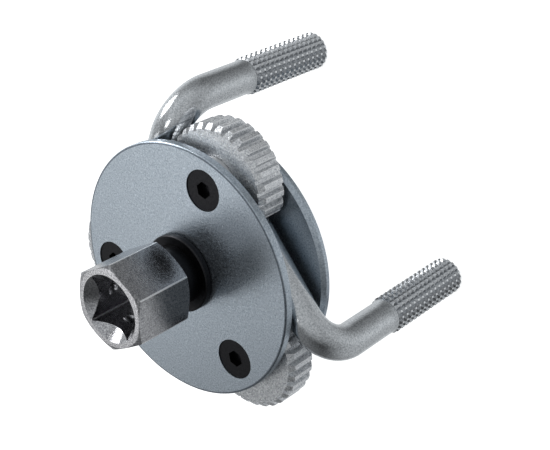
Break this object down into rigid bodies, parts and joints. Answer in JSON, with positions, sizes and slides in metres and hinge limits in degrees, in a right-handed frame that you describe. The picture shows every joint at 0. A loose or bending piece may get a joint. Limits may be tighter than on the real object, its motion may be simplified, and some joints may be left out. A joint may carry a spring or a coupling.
{
  "type": "oil filter wrench",
  "caption": "Self-tightening gear-driven filter wrench: bent knurled rod arms on toothed wheels between round plates, turned by a hexagonal head with a square drive.",
  "frame": {"origin": "centre of the square drive's mouth, on the tool's axis", "axes": "+Z along the drive's axis out of the square's mouth, towards the ratchet; +Y towards pivot a; the tool stands on its three finger tips"},
  "size_m": [0.0868, 0.0843, 0.0906],
  "materials": {
    "plate_zinc": "satin blue-grey zinc plating",
    "gear_zinc": "grainy sintered steel, zinc plated",
    "rod_zinc": "bright zinc plating over drawn rod",
    "chrome": "chrome plating over machined faces",
    "black_oxide": "black oxide, oiled",
    "black_collar": "black oxide, oiled",
    "screw_black": "black oxide, oiled",
    "post_steel": "turned steel",
    "washer_steel": "zinc plating",
    "spring_steel": "phosphated spring steel"
  },
  "bodies": {
    "housing": {"front_plate": "plate_zinc", "back_plate": "plate_zinc", "post_a": "post_steel", "post_b": "post_steel", "post_c": "post_steel", "front_screw_a": "screw_black", "front_screw_b": "screw_black", "front_screw_c": "screw_black", "rear_screw_a": "screw_black", "rear_screw_b": "screw_black", "rear_screw_c": "screw_black", "front_washer_a": "washer_steel", "front_washer_b": "washer_steel", "front_washer_c": "washer_steel", "rear_washer_a": "washer_steel", "rear_washer_b": "washer_steel", "rear_washer_c": "washer_steel"},
    "drive": {"drive_head": "chrome", "drive_shaft": "black_oxide", "collar": "black_collar", "sun_gear": "gear_zinc", "circlip": "spring_steel"},
    "arm_a": {"gear_a": "gear_zinc", "rod_a": "rod_zinc"},
    "arm_b": {"gear_b": "gear_zinc", "rod_b": "rod_zinc"},
    "arm_c": {"gear_c": "gear_zinc", "rod_c": "rod_zinc"}
  },
  "joints": [
    {"name": "drive_spin", "type": "hinge", "parent": "housing", "child": "drive", "pos_m": [0, 0, 0], "axis": [0, 0, 1], "range_deg": [-319.5, 0]},
    {"name": "arm_a_swing", "type": "hinge", "parent": "housing", "child": "arm_a", "pos_m": [0, 0.0265, -0.03455], "axis": [0, 0, 1], "range_deg": [0, 245]},
    {"name": "arm_b_swing", "type": "hinge", "parent": "housing", "child": "arm_b", "pos_m": [-0.02295, -0.01325, -0.03455], "axis": [0, 0, 1], "range_deg": [0, 245]},
    {"name": "arm_c_swing", "type": "hinge", "parent": "housing", "child": "arm_c", "pos_m": [0.02295, -0.01325, -0.03455], "axis": [0, 0, 1], "range_deg": [0, 245]}
  ],
  "couplings": [
    {"joint": "arm_a_swing", "follows": "drive_spin", "ratio": -0.76667},
    {"joint": "arm_b_swing", "follows": "drive_spin", "ratio": -0.76667},
    {"joint": "arm_c_swing", "follows": "drive_spin", "ratio": -0.76667}
  ]
}
